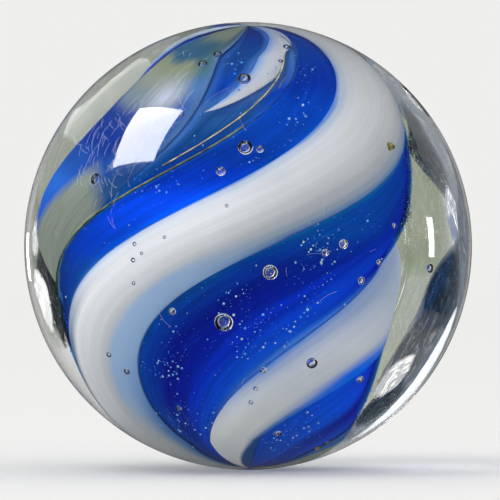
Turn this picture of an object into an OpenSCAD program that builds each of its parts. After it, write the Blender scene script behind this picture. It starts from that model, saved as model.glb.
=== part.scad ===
// Glass marble: a clear ball cased over a twisted blue core, with white ribbons laid in the core's skin.
// The origin is the centre of the ball and +Z is the axis that the glass was twisted about.
// Angles are read round the core before it is twisted. Heights on the core run from -1 at its foot to 1 at
// its head.

/* [Ball] */
// Diameter of the ball
ball_d = 25; // [20:0.5:30]
// Clear glass between the ball's surface and the core at mid-height
side_cover = 6; // [5:0.1:6.5]
// Clear glass over the two ends of the core
pole_cover = 2; // [0.8:0.1:4]

/* [Core] */
// Fullness of the core's outline: 1 is a double cone, 2 an ellipse, more is squarer
core_fullness = 1.8; // [1.3:0.05:2.2]
// How much the core leans out to its fuller side
belly = 0.95; // [0:0.05:1.2]
// Angle of the fuller side
belly_angle = -38; // [-180:1:180]
// Swell of the blue field between the first and second ribbons
blue_swell = 0.1; // [0:0.05:0.8]
// Step down beside the folded lip that runs along the first ribbon
lip_depth = 0.7; // [0:0.05:0.9]
// Distance of the lip from the first ribbon at the foot, middle and head of the core, in degrees
lip_gap = [4, 31, 34]; // [4:1:60]

/* [Twist] */
// Turn of the head against the foot, in degrees
twist_turn = 272; // [0:1:400]
// How much the twist slows towards the ends
twist_ease = 0.52; // [0:0.02:0.8]
// How far above the middle the twist is tightest, as a height on the core
twist_peak = 0.32; // [-0.4:0.02:0.4]

/* [White ribbons] */
// Greatest thickness of a ribbon
ribbon_t = 1.1; // [0.4:0.05:1.4]
// First ribbon's near edge at the foot, middle and head of the core, in degrees
first_from = [-54, -54, -65]; // [-90:1:-20]
// First ribbon's width at the foot, middle and head
first_width = [80, 60, 120]; // [20:1:130]
// Blue between the first and second ribbons
second_gap = [29, 91, 30]; // [15:1:110]
// Second ribbon's width
second_width = [52, 73, 40]; // [20:1:90]
// Blue between the second and third ribbons
third_gap = [80, 33, 15]; // [15:1:90]
// Third ribbon's width
third_width = [48, 69, 60]; // [20:1:90]
// Swell of the three ribbons over the core's round
ribbon_swell = [0.1, 0, 2.1]; // [0:0.05:2.2]
// Height on the core at which the third ribbon starts to swell
swell_start = -0.5; // [-0.8:0.1:0]
// Height on the core at which the third ribbon's swell is whole
swell_whole = 0.4; // [0.1:0.1:0.8]
// Depth of the groove between the blue field and the second ribbon
groove_depth = 0.7; // [0:0.05:0.9]
// How far the groove spreads to either side, in degrees
groove_spread = 15; // [8:1:20]

/* [White thread] */
// Height on the core at which the thread starts
thread_start = 0.6; // [0.4:0.01:0.7]
// Blue between the third ribbon and the thread, at the thread's start and at the head, in degrees
thread_gap = [5, 55]; // [5:1:60]
// Width of the thread at its start and at the head
thread_width = [14, 32]; // [5:1:36]

/* [Bubbles] */
// Diameter of the largest bubble in the clear glass
bubble_d = 1; // [0.2:0.05:1.2]

/* [Hidden] */

clear_colour = [0.93, 0.95, 0.93, 0.35];
blue_colour = [0.02, 0.14, 0.72];
white_colour = [0.84, 0.86, 0.88];

core_r = ball_d / 2 - side_cover;
core_half = ball_d / 2 - pole_cover;

rows = 30;             // steps from the first ring to the last
last_ring = 0.985;     // height of the last ring
path_end = 0.85;       // the ribbons run straight on beyond this height
path_station = 0.8;    // height of the foot and head values
end_blunt = 0.985;     // keeps the core's ends blunt
ribbon_cells = 6;      // steps across a ribbon
gap_cells = [6, 4, 4, 6];
thread_least = 5;      // the thread's width where it has died out
blue_least = 15;       // blue kept between the thread and the first ribbon
tip_length = 0.15;     // height over which a tip opens
lip_blend = 5;         // angle over which the lip drops
lip_fade = 30;         // angle over which the drop heals
ball_facets = 96;
bubble_facets = 24;

// Bubbles in the clear glass: height over the core's middle, angle round the ball, distance from the axis
// and size, as shares of the ball's radius and of the largest bubble
bubbles = [
    [-0.29, -98, 0.70, 1.00], [-0.09, -83, 0.72, 0.80], [0.41, -91, 0.66, 0.80],
    [0.02, -58, 0.70, 0.50], [0.68, -92, 0.45, 0.70], [-0.46, -67, 0.66, 0.60],
    [0.28, -142, 0.78, 0.60], [-0.20, 20, 0.74, 0.70], [0.15, 75, 0.74, 0.60], [0.45, 150, 0.66, 0.50]
];

function clamp(x, low, high) = min(max(x, low), high);

// A curve through the foot, middle and head values of v
function along(v, s) =
    let (h = clamp(s, -path_end, path_end) / path_station)
    v[1] + (v[2] - v[0]) / 2 * h + ((v[0] + v[2]) / 2 - v[1]) * h * h;

function outline(s) = pow(1 - pow(end_blunt * abs(s), core_fullness), 1 / core_fullness);

function twist(s) = twist_turn / 2 * ((1 - twist_ease) * s
    + twist_ease * (sin(90 * (s - twist_peak)) + sin(90 * twist_peak)));

function ring_height(i) = last_ring * (2 * i / rows - 1);

function thread_growth(s) = clamp((s - thread_start) / (last_ring - thread_start), 0, 1);
function thread_offset(s) = thread_gap[0] + (thread_gap[1] - thread_gap[0]) * thread_growth(s);
function thread_span(s) =
    let (tip = sqrt(clamp((s - thread_start) / tip_length, 0, 1)))
    max(thread_least, tip * (thread_width[0] + (thread_width[1] - thread_width[0]) * thread_growth(s)));

function first_sum(v, n) = n == 0 ? 0 : v[n - 1] + first_sum(v, n - 1);

// Widths of the ribbons and of the blue between them, shrunk where they would leave the thread no room
function band_widths(s) =
    let (wanted = [for (v = [first_width, second_gap, second_width, third_gap, third_width]) along(v, s)],
         room = 360 - thread_offset(s) - thread_span(s) - blue_least)
    min(1, room / first_sum(wanted, len(wanted))) * wanted;

// The two edges of ribbon k: 0 to 2 are the ribbons and 3 is the thread
function edges(k, s) =
    let (widths = band_widths(s),
         near = along(first_from, s) + (k < 3 ? first_sum(widths, 2 * k)
             : first_sum(widths, len(widths)) + thread_offset(s)))
    [near, near + (k < 3 ? widths[2 * k] : thread_span(s))];

function turned(a) = a - 360 * round(a / 360);
function swell(a, from, to) = exp(-pow(turned(a - (from + to) / 2) / ((to - from) / 2), 2));

// How far the surface lies under the lip, at x degrees away from it
function lip_drop(x) = x <= 0 ? 0 : min(x / lip_blend, 1) * exp(-x / lip_fade);

// How much of the third ribbon's swell there is at height s
function swell_share(s) =
    let (x = clamp((s - swell_start) / (swell_whole - swell_start), 0, 1))
    x * x * (3 - 2 * x);

function radius(a, s) =
    let (first = edges(0, s), second = edges(1, s), third = edges(2, s),
         lip = first[0] - along(lip_gap, s))
    outline(s) * (core_r + belly * cos(a - belly_angle)
        + ribbon_swell[0] * swell(a, first[0], first[1])
        + ribbon_swell[1] * swell(a, second[0], second[1])
        + ribbon_swell[2] * swell(a, third[0], third[1]) * swell_share(s)
        + blue_swell * swell(a, first[1], second[0])
        - groove_depth * exp(-pow(turned(a - second[0]) / groove_spread, 2))
        - lip_depth * lip_drop(turned(lip - a)));

function skin_point(a, s, depth) =
    let (r = radius(a, s) - depth, turn = a + twist(s) - 90)
    [r * cos(turn), r * sin(turn), core_half * s];

// A ring's stations are [angle, share of a ribbon's thickness, ribbon's number]
function ring(s) = [
    for (k = [0:3])
        let (own = edges(k, s), next = k < 3 ? edges(k + 1, s)[0] : edges(0, s)[0] + 360)
        each concat(
            [for (j = [0:ribbon_cells])
                let (u = 2 * j / ribbon_cells - 1)
                [own[0] + (own[1] - own[0]) * j / ribbon_cells, sqrt(max(0, 1 - u * u)), k]],
            [for (j = [1:gap_cells[k] - 1])
                [own[1] + (next - own[1]) * j / gap_cells[k], 0, k]])
];

rings = [for (i = [0:rows]) ring(ring_height(i))];
columns = len(rings[0]);

// The first ring that the thread reaches, where it has no thickness yet
thread_row = ceil((thread_start / last_ring + 1) * rows / 2) - 1;
function first_row(k) = k < 3 ? 0 : thread_row;
function first_column(k) = k == 0 ? 0 : first_column(k - 1) + ribbon_cells + gap_cells[k - 1];

// Depth of a ribbon's underside below the skin at ring i and column j
function bed_depth(i, j) =
    let (cell = rings[i][j], s = ring_height(i))
    i > first_row(cell[2]) && i < rows ? ribbon_t * outline(s) * cell[1] : 0;

skin = [for (i = [0:rows]) [for (cell = rings[i]) skin_point(cell[0], ring_height(i), 0)]];
bed = [for (i = [0:rows]) [for (j = [0:columns - 1])
    skin_point(rings[i][j][0], ring_height(i), bed_depth(i, j))]];

// A closed body from the core's rings: sides, then a fan at each end
module ringed_body(points) {
    flat = [for (ring_points = points) each ring_points];
    foot = len(flat);
    head = foot + 1;
    top = rows * columns;
    polyhedron(
        points = concat(flat, [[0, 0, -core_half], [0, 0, core_half]]),
        faces = concat(
            [for (i = [0:rows - 1], j = [0:columns - 1])
                let (n = (j + 1) % columns)
                each [[i * columns + j, (i + 1) * columns + n, i * columns + n],
                      [i * columns + j, (i + 1) * columns + j, (i + 1) * columns + n]]],
            [for (j = [0:columns - 1]) [foot, j, (j + 1) % columns]],
            [for (j = [0:columns - 1]) [head, top + (j + 1) % columns, top + j]]));
}

// A ribbon: its outer face is the core's skin, its underside is the bed, and they meet along the rim
module ribbon(k) {
    low = first_row(k);
    steps = rows - low;
    start = first_column(k);
    span = ribbon_cells + 1;
    outer = [for (i = [0:steps], j = [0:ribbon_cells]) skin[low + i][start + j]];
    under = [for (i = [1:steps - 1], j = [1:ribbon_cells - 1]) bed[low + i][start + j]];
    function at_rim(p) = p[0] == 0 || p[0] == steps || p[1] == 0 || p[1] == ribbon_cells;
    function out_at(p) = p[0] * span + p[1];
    function in_at(p) = at_rim(p) ? out_at(p) : len(outer) + (p[0] - 1) * (ribbon_cells - 1) + p[1] - 1;
    cells = [for (i = [0:steps - 1], j = [0:ribbon_cells - 1])
        each [[[i, j], [i + 1, j + 1], [i, j + 1]], [[i, j], [i + 1, j], [i + 1, j + 1]]]];
    // A corner that lies wholly on the rim has no thickness, so it is left out
    faces = [for (t = cells) if (!(at_rim(t[0]) && at_rim(t[1]) && at_rim(t[2]))) t];
    polyhedron(
        points = concat(outer, under),
        faces = concat(
            [for (t = faces) [out_at(t[0]), out_at(t[1]), out_at(t[2])]],
            [for (t = faces) [in_at(t[0]), in_at(t[2]), in_at(t[1])]]));
}

module bubble_set() {
    for (b = bubbles)
        rotate([0, 0, b[1]])
            translate([b[2] * ball_d / 2, 0, b[0] * ball_d / 2])
                sphere(d = bubble_d * b[3], $fn = bubble_facets);
}

module clear_casing() {
    color(clear_colour)
        difference() {
            sphere(d = ball_d, $fn = ball_facets);
            ringed_body(skin);
            bubble_set();
        }
}

module blue_core() {
    color(blue_colour)
        ringed_body(bed);
}

module white_ribbon(k) {
    color(white_colour)
        ribbon(k);
}

clear_casing();
blue_core();
white_ribbon(0);  // white_ribbon_1
white_ribbon(1);  // white_ribbon_2
white_ribbon(2);  // white_ribbon_3
white_ribbon(3);  // white_thread
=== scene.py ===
import math

import bmesh
import bpy
from mathutils import Matrix, Vector


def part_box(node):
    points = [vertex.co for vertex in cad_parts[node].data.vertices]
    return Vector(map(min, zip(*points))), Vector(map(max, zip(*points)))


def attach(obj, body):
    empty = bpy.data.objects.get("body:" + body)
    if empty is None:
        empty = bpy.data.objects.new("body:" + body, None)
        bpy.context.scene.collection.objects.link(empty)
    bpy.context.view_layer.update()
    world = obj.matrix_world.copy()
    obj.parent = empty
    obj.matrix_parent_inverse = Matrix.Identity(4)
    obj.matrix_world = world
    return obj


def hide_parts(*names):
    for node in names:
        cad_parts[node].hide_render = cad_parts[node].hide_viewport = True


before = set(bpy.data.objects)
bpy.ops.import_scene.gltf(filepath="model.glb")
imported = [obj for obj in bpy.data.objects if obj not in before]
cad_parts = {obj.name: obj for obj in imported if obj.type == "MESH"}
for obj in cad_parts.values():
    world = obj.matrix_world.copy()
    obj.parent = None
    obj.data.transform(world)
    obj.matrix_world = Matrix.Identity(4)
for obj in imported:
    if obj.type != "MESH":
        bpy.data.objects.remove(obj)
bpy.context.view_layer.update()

mm = 0.001
degree = math.radians(1)
glassBend = 1.51      # the clear glass's index of refraction

ballLow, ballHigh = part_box("clear_casing")
coreLow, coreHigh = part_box("blue_core")
ballRadius = (ballHigh[2] - ballLow[2]) / 2
coreHalf = (coreHigh[2] - coreLow[2]) / 2

view = {
    "distance": 0.6,
    "elevation": 1.2,
    "ballShare": 0.896,          # the ball's width over the frame's width
    "shift": (0.0039, -0.008),
    "sensor": 36,
    "clip": (0.05, 20),
}


def fromView(side, up, near):      # a vector as the camera sees it, in the frame's own axes
    tilt = math.radians(view["elevation"])
    level, rise = math.cos(tilt), math.sin(tilt)
    return Vector((side, up * rise - near * level, up * level + near * rise))


def linked(name, data):      # a new object in the scene
    thing = bpy.data.objects.new(name, data)
    bpy.context.collection.objects.link(thing)
    return thing


def makeCamera():
    data = bpy.data.cameras.new("longLens")
    camera = linked("longLens", data)
    camera.location = fromView(0, 0, 1) * view["distance"]
    camera.rotation_euler = (-camera.location).to_track_quat("-Z", "Y").to_euler()
    edge = math.tan(math.asin(ballRadius / view["distance"]))
    data.sensor_width = view["sensor"]
    data.lens = view["sensor"] / 2 * view["ballShare"] / edge
    data.clip_start, data.clip_end = view["clip"]
    data.shift_x, data.shift_y = view["shift"]
    bpy.context.scene.camera = camera


makeCamera()
print("camera set")


# Nodes: sums are written with Term, which holds one socket of a tree.

class Term:
    def __init__(self, tree, socket):
        self.tree = tree
        self.socket = socket

    def calc(self, operation, *others):
        node = self.tree.nodes.new("ShaderNodeMath")
        node.operation = operation
        for slot, value in zip(node.inputs, (self, *others)):
            plug(self.tree, value, slot)
        return Term(self.tree, node.outputs[0])

    def __add__(self, other):
        return self.calc("ADD", other)

    def __sub__(self, other):
        return self.calc("SUBTRACT", other)

    def __rsub__(self, other):
        return self.calc("MULTIPLY_ADD", -1, other)

    def __mul__(self, other):
        return self.calc("MULTIPLY", other)

    def __rmul__(self, other):
        return self.calc("MULTIPLY", other)

    def __truediv__(self, other):
        return self.calc("DIVIDE", other)

    def __rtruediv__(self, other):
        return self.calc("POWER", -1) * other

    def __pow__(self, other):
        return self.calc("POWER", other)

    def __neg__(self):
        return self * -1

    def absolute(self):
        return self.calc("ABSOLUTE")

    def atLeast(self, low):
        return self.calc("MAXIMUM", low)

    def within(self, low, high):
        return self.atLeast(low).calc("MINIMUM", high)

    def sine(self):
        return (self * degree).calc("SINE")

    def cosine(self):
        return (self * degree).calc("COSINE")

    def ramp(self, start, end):      # 0 before start, 1 past end
        return ((self - start) / (end - start)).within(0, 1)

    def bump(self, centre, halfWidth):   # 1 at the centre, dying out on both sides
        spread = (self - centre) / halfWidth
        return (-(spread * spread)).calc("EXPONENT")


def plug(tree, value, slot):
    if isinstance(value, Term):
        tree.links.new(value.socket, slot)
    elif isinstance(value, bpy.types.NodeSocket):
        tree.links.new(value, slot)
    else:
        slot.default_value = value


def addNode(tree, kind, inputs=None, **settings):
    node = tree.nodes.new(kind)
    for name, value in settings.items():
        setattr(node, name, value)
    for name, value in (inputs or {}).items():
        slot = node.inputs[name] if isinstance(name, int) else next(
            s for s in node.inputs if s.name == name and s.enabled)
        plug(tree, value, slot)
    return node


def parts(tree, vector):
    split = addNode(tree, "ShaderNodeSeparateXYZ", {0: vector})
    return [Term(tree, out) for out in split.outputs]


def vectorOf(tree, x, y, z):
    return addNode(tree, "ShaderNodeCombineXYZ", {0: x, 1: y, 2: z}).outputs[0]


def scaled(tree, vector, share):
    return addNode(tree, "ShaderNodeVectorMath", {0: vector, "Scale": share}, operation="SCALE").outputs[0]


def unit(tree, vector):
    return addNode(tree, "ShaderNodeVectorMath", {0: vector}, operation="NORMALIZE").outputs[0]


def noise(tree, vector, scale, detail=2.0, roughness=0.5, distortion=0.0):
    node = addNode(tree, "ShaderNodeTexNoise", {"Vector": vector, "Scale": scale, "Detail": detail,
                                                "Roughness": roughness, "Distortion": distortion})
    return Term(tree, node.outputs[0])


# Geometry trees: each has one dictionary of sizes, which are its inputs.

weld = 2e-7      # corners closer than this become one


def newTree(name, sizes):
    tree = bpy.data.node_groups.new(name, "GeometryNodeTree")
    face = tree.interface
    face.new_socket(name="Geometry", in_out="INPUT", socket_type="NodeSocketGeometry")
    kinds = {int: "NodeSocketInt", float: "NodeSocketFloat", tuple: "NodeSocketVector"}
    for title, value in sizes.items():
        face.new_socket(name=title, in_out="INPUT", socket_type=kinds[type(value)])
    face.new_socket(name="Geometry", in_out="OUTPUT", socket_type="NodeSocketGeometry")
    source = tree.nodes.new("NodeGroupInput")
    return tree, {s.name: Term(tree, s) for s in source.outputs if s.name}


def closeTree(tree, shape, material):
    real = addNode(tree, "GeometryNodeRealizeInstances", {"Geometry": shape})
    final = addNode(tree, "GeometryNodeSetMaterial", {"Geometry": real.outputs[0], "Material": material})
    target = tree.nodes.new("NodeGroupOutput")
    tree.links.new(final.outputs[0], target.inputs[0])
    return tree


def spot(tree):      # where a point stands
    return addNode(tree, "GeometryNodeInputPosition").outputs[0]


def named(tree, name, kind):
    return addNode(tree, "GeometryNodeInputNamedAttribute", {"Name": name}, data_type=kind).outputs[0]


def marked(tree, shape, name, kind, value):
    return addNode(tree, "GeometryNodeStoreNamedAttribute",
                   {"Geometry": shape, "Name": name, "Value": value}, data_type=kind).outputs[0]


def chance(tree, low, high, seed):      # one random value for each point
    node = addNode(tree, "FunctionNodeRandomValue",
                   {"Min": low, "Max": high, "Seed": seed}, data_type="FLOAT")
    return Term(tree, node.outputs["Value"])


def moved(tree, shape, position):
    return addNode(tree, "GeometryNodeSetPosition", {"Geometry": shape, "Position": position}).outputs[0]


def welded(tree, shape):
    return addNode(tree, "GeometryNodeMergeByDistance", {"Geometry": shape, "Distance": weld}).outputs[0]


def pellet(tree, fineness):      # a small ball, 1 across
    return addNode(tree, "GeometryNodeMeshIcoSphere", {"Radius": 0.5, "Subdivisions": fineness}).outputs[0]


def strewn(tree, points, shape, size, **turn):      # the shape at each point, this many times its size
    inputs = {"Points": points, "Instance": shape, "Scale": vectorOf(tree, size, size, size), **turn}
    return addNode(tree, "GeometryNodeInstanceOnPoints", inputs).outputs[0]


def tube(tree, line, taper, sides, width):      # a closed tube along a line of points
    curve = addNode(tree, "GeometryNodeMeshToCurve", {"Mesh": line})
    sized = addNode(tree, "GeometryNodeSetCurveRadius", {"Curve": curve.outputs[0], "Radius": taper})
    ring = addNode(tree, "GeometryNodeCurvePrimitiveCircle", {"Resolution": sides, "Radius": width * 0.5})
    inputs = {"Curve": sized.outputs[0], "Profile Curve": ring.outputs[0], "Fill Caps": True}
    return addNode(tree, "GeometryNodeCurveToMesh", inputs).outputs[0]


def grow(name, tree, sizes, base=None, inward=False):      # runs a tree and keeps its result as a plain mesh
    carrier = linked(name + "Carrier", base or bpy.data.meshes.new(name + "Base"))
    modifier = carrier.modifiers.new(name, "NODES")
    modifier.node_group = tree
    for item in tree.interface.items_tree:
        if item.in_out == "INPUT" and item.name in sizes:
            modifier[item.identifier] = sizes[item.name]
    evaluated = carrier.evaluated_get(bpy.context.evaluated_depsgraph_get())
    mesh = bpy.data.meshes.new_from_object(evaluated)
    mesh.name = name
    carrier.modifiers.clear()
    bpy.data.objects.remove(carrier)
    finishSkin(mesh, inward)
    return mesh


def finishSkin(mesh, inward):      # an inward skin is the wall of a hollow
    work = bmesh.new()
    work.from_mesh(mesh)
    bmesh.ops.recalc_face_normals(work, faces=work.faces)
    if inward:
        bmesh.ops.reverse_faces(work, faces=work.faces)
    for face in work.faces:
        face.smooth = True
    work.to_mesh(mesh)
    work.free()


def place(mesh, slot, *nodes):
    piece = linked(mesh.name, mesh)
    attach(piece, "root")
    if nodes:
        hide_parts(*nodes)
    print("made", piece.name, len(mesh.polygons), "faces")


# The twisted core. Angles are in degrees round the core before it is twisted. The three values of a band are
# for the core's foot, middle and head, and heights run from -1 at the foot to 1 at the head.

core = {
    "Core Radius": ballRadius - 6 * mm,          # 6 mm of clear glass lies over its sides
    "Core Half": coreHalf,
    "Fullness": 1.8,
    "Belly": 0.95 * mm,
    "Belly Angle": -38.0,
    "Lip Depth": 0.7 * mm,
    "Lip Step": 5.0,                             # degrees in which it drops, and in which it comes up again
    "Lip Run": 30.0,
    "Lip Gap": (4, 31, 34),
    "Turn": 272.0,
    "Ease": 0.52,
    "Peak": 0.32,
    "First From": (-54, -54, -65),
    "First Width": (80, 60, 120),
    "Second Gap": (29, 91, 30),
    "Second Width": (52, 73, 40),
    "Third Gap": (80, 33, 15),
    "Third Width": (48, 69, 60),
    "Swells": (0.1 * mm, 0.1 * mm, 2.1 * mm),    # over the first ribbon, the blue beside it, the third ribbon
    "Rise From": -0.5,                           # the third ribbon's swell grows between these heights
    "Rise To": 0.4,
    "Groove": 0.7 * mm,                          # between the blue and the second ribbon
    "Groove Width": 15.0,
    "Thread Start": 0.6,
    "Thread Opening": 0.15,
    "Thread Gap": (5, 55, 0),                    # at its start and at the head
    "Thread Width": (14, 32, 0),
}

bandEnd = 0.8         # the height that a band's value for the head belongs to, and below 0 that for the foot
bandLimit = 0.85      # past this height a band keeps its angles


def along(tree, vector, height):
    foot, middle, head = parts(tree, vector)
    h = height.within(-bandLimit, bandLimit) / bandEnd
    return middle + (head - foot) * 0.5 * h + ((foot + head) * 0.5 - middle) * h * h


def bandEdges(tree, given, height):
    edges = [along(tree, given["First From"], height)]
    for name in ("First Width", "Second Gap", "Second Width", "Third Gap", "Third Width"):
        edges.append(edges[-1] + along(tree, given[name], height))
    return edges


def threadEdges(tree, given, height, edges):
    growth = height.ramp(given["Thread Start"], 1)
    gapStart, gapEnd, _ = parts(tree, given["Thread Gap"])
    widthStart, widthEnd, _ = parts(tree, given["Thread Width"])
    opened = ((height - given["Thread Start"]) / given["Thread Opening"]).within(0, 1) ** 0.5
    near = edges[5] + gapStart + (gapEnd - gapStart) * growth
    return near, near + opened * (widthStart + (widthEnd - widthStart) * growth)


def lipAngle(tree, given, height, edges):
    return edges[0] - along(tree, given["Lip Gap"], height)


def turned(angle):       # the same angle between -180 and 180
    return angle - (angle / 360).calc("ROUND") * 360


def swell(angle, start, end):
    return turned(angle - (start + end) * 0.5).bump(0, (end - start) * 0.5)


def skinRadius(tree, given, angle, height, edges):
    firstSwell, blueSwell, thirdSwell = parts(tree, given["Swells"])
    rise = height.ramp(given["Rise From"], given["Rise To"])
    past = turned(lipAngle(tree, given, height, edges) - angle).atLeast(0)
    lipDrop = (past / given["Lip Step"]).within(0, 1) * (-past / given["Lip Run"]).calc("EXPONENT")
    reach = (given["Core Radius"] + given["Belly"] * (angle - given["Belly Angle"]).cosine()
             + firstSwell * swell(angle, edges[0], edges[1])
             + blueSwell * swell(angle, edges[1], edges[2])
             + thirdSwell * swell(angle, edges[4], edges[5]) * rise * rise * (3 - 2 * rise)
             - given["Groove"] * turned(angle - edges[2]).bump(0, given["Groove Width"])
             - given["Lip Depth"] * lipDrop)
    return reach * outline(given, height)


def outline(given, height):
    fullness = given["Fullness"]
    return (1 - height.absolute() ** fullness).atLeast(0) ** (1 / fullness)


def onCore(tree, given, angle, height, radius):
    ease, peak = given["Ease"], given["Peak"]
    twist = given["Turn"] * 0.5 * ((1 - ease) * height
                                   + ease * (((height - peak) * 90).sine() + (peak * 90).sine()))
    heading = angle + twist - 90
    return vectorOf(tree, radius * heading.cosine(), radius * heading.sine(), given["Core Half"] * height)


def gridCoordinates(tree, columns, rows):     # a flat grid, with its two coordinates from 0 to 1
    grid = addNode(tree, "GeometryNodeMeshGrid",
                   {"Size X": 1.0, "Size Y": 1.0, "Vertices X": columns, "Vertices Y": rows})
    x, y, _ = parts(tree, spot(tree))
    return grid.outputs["Mesh"], x + 0.5, y + 0.5


def shapeGrid(tree, mesh, position, tag, value):
    return welded(tree, moved(tree, marked(tree, mesh, tag, "FLOAT_VECTOR", value), position))


blueBody = {
    **core,
    "Columns": 257,
    "Rows": 181,
    "Inset": 0.0,
    "Brim": 0.0,              # how far an inset body comes up again beside a ribbon
    "Brim Width": 5.0,        # degrees
    "Bed": 0.0,               # how much further it is sunk under a ribbon
    "Bed Margin": 4.0,        # degrees inside the ribbon's edge where that starts
    "Height Share": 1.0,
}

streakyBody = {      # a slimmer body of the same twist, inside the blue skin
    **blueBody,
    "Columns": 193,
    "Rows": 141,
    "Inset": 0.25 * mm,
    "Brim": 0.88,
    "Bed": 0.3 * mm,
    "Height Share": 0.97,
}


def bedShape(angle, start, end, margin):
    spread = turned(angle - (start + end) * 0.5) / ((end - start) * 0.5 - margin)
    return (1 - spread * spread).atLeast(0) ** 0.5


def bodyTree(material):
    tree, given = newTree("coreBody", blueBody)
    mesh, x, y = gridCoordinates(tree, given["Columns"], given["Rows"])
    angle = x * 360
    height = ((y * 2 - 1) * 90).sine()
    edges = bandEdges(tree, given, height)
    lip = lipAngle(tree, given, height, edges)
    first, second, third = [bedShape(angle, edges[k], edges[k + 1], given["Bed Margin"]) for k in (0, 2, 4)]
    brims = turned(angle - edges[0]).bump(0, given["Brim Width"])
    for edge in edges[1:]:
        brims = brims + turned(angle - edge).bump(0, given["Brim Width"])
    inset = given["Inset"] * (1 - given["Brim"] * brims.within(0, 1))
    depth = (inset + given["Bed"] * (first + second + third)) * outline(given, height)
    radius = skinRadius(tree, given, angle, height, edges) - depth
    px, py, pz = parts(tree, onCore(tree, given, angle, height, radius))
    position = vectorOf(tree, px, py, pz * given["Height Share"])
    # the band coordinate counts edges: 0 to 1 is the first ribbon, 1 to 2 the blue beside it, and so on
    reach = edges[0] + (angle - edges[0]) - ((angle - edges[0]) / 360).calc("FLOOR") * 360
    stops = edges + [lip + 360, edges[0] + 360]
    band = reach.ramp(stops[0], stops[1])
    for start, end in zip(stops[1:], stops[2:]):
        band = band + reach.ramp(start, end)
    near, far = threadEdges(tree, given, height, edges)
    aside = turned(angle - (near + far) * 0.5).absolute() - (far - near) * 0.5
    skin = shapeGrid(tree, mesh, position, "swirl", vectorOf(tree, band, height, aside))
    return closeTree(tree, skin, material)


ribbon = {
    **core,
    "Columns": 49,
    "Rows": 181,
    "Ribbon": 0,                 # 0 to 2 for the three ribbons, 3 for the thread
    "Lowest": -1.0,
    "Thickness": 1.05 * mm,
    "Crown": 0.12 * mm,
    "Full Width": 30.0,          # degrees; a narrower ribbon is thinner as well
}

thread = {
    **ribbon,
    "Columns": 33,
    "Rows": 61,
    "Ribbon": 3,
    "Lowest": 2 / math.pi * math.asin(core["Thread Start"]),
    "Thickness": 0.5 * mm,
}


def ribbonTree(material):
    tree, given = newTree("inlaidRibbon", ribbon)
    mesh, x, y = gridCoordinates(tree, given["Columns"], given["Rows"])
    lowest = given["Lowest"]
    height = ((lowest + (1 - lowest) * y) * 90).sine()
    edges = bandEdges(tree, given, height)
    edges += threadEdges(tree, given, height, edges)
    chosen = []
    for shift in (0, 1):      # its near edge, then its far edge
        switch = addNode(tree, "GeometryNodeIndexSwitch", {"Index": given["Ribbon"]}, data_type="FLOAT")
        while len(switch.index_switch_items) < 4:
            switch.index_switch_items.new()
        for k in range(4):
            plug(tree, edges[2 * k + shift], switch.inputs[k + 1])
        chosen.append(Term(tree, switch.outputs[0]))
    near, far = chosen
    around = x * 360
    across = around.cosine()
    side = around.sine()         # above 0 on the outer face
    angle = (near + far) * 0.5 - (far - near) * 0.5 * across
    slim = ((far - near) / given["Full Width"]).within(0, 1)
    rise = (side.atLeast(0) * given["Crown"] - (-side).atLeast(0) * given["Thickness"]) * slim
    radius = skinRadius(tree, given, angle, height, edges) + rise * outline(given, height)
    position = onCore(tree, given, angle, height, radius)
    skin = shapeGrid(tree, mesh, position, "ribbon", vectorOf(tree, across, height, side))
    return closeTree(tree, skin, material)


lipLine = {      # a fine line painted along the lip
    **core,
    "Steps": 240,
    "Sides": 10,
    "Beside": 0.0,        # degrees
    "Thickness": 0.05 * mm,
    "From": -0.9,
    "To": 0.95,
    "Tip": 0.05,          # how thick its ends are, against its middle
}


def lipLineTree(material):
    tree, given = newTree("lipLine", lipLine)
    line = addNode(tree, "GeometryNodeMeshLine", {"Count": given["Steps"]})
    index = Term(tree, addNode(tree, "GeometryNodeInputIndex").outputs[0])
    share = index / (given["Steps"] - 1)
    height = given["From"] + (given["To"] - given["From"]) * share
    edges = bandEdges(tree, given, height)
    angle = lipAngle(tree, given, height, edges) + given["Beside"]
    radius = skinRadius(tree, given, angle, height, edges)
    drawn = moved(tree, line.outputs[0], onCore(tree, given, angle, height, radius))
    taper = ((share * 180).sine() ** 0.4).atLeast(given["Tip"])
    return closeTree(tree, tube(tree, drawn, taper, given["Sides"], given["Thickness"]), material)


ballSkin = {
    "Cells": 108,
    "Radius": ballRadius,
    "Waviness": 0.01 * mm,
    "Waves": 1.6,
}


def ballTree(material):       # a cube's grid swollen to a ball, whose skin is faintly wavy
    tree, given = newTree("ballSkin", ballSkin)
    cells = given["Cells"]
    cube = addNode(tree, "GeometryNodeMeshCube",
                   {"Vertices X": cells, "Vertices Y": cells, "Vertices Z": cells})
    even = [(part * (math.pi / 2)).calc("TANGENT") for part in parts(tree, spot(tree))]
    outward = unit(tree, vectorOf(tree, *even))
    radius = given["Radius"] - given["Waviness"] * noise(tree, outward, given["Waves"], 1.0)
    ball = moved(tree, cube.outputs["Mesh"], scaled(tree, outward, radius))
    return closeTree(tree, welded(tree, ball), material)


bubbleWall = {"Fineness": 3}


def bubbleTree(material):     # a small ball at each point, as large as the point's "size" says
    tree, given = newTree("bubbles", bubbleWall)
    points = addNode(tree, "GeometryNodeMeshToPoints", {"Mesh": given["Geometry"]}).outputs[0]
    hollow = pellet(tree, given["Fineness"])
    return closeTree(tree, strewn(tree, points, hollow, named(tree, "size", "FLOAT")), material)


fineSeeds = {
    "Density": 18e6,
    "Above": 0.06 * mm,         # how high over the blue they lie, and how low
    "Below": 0.0,
    "Smallest": 0.03 * mm,
    "Largest": 0.15 * mm,
    "Clusters": 420.0,
    "Fineness": 1,
    "Seed": 11,
    "Size Seed": 5,
    "Glint Seed": 8,
}


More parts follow.
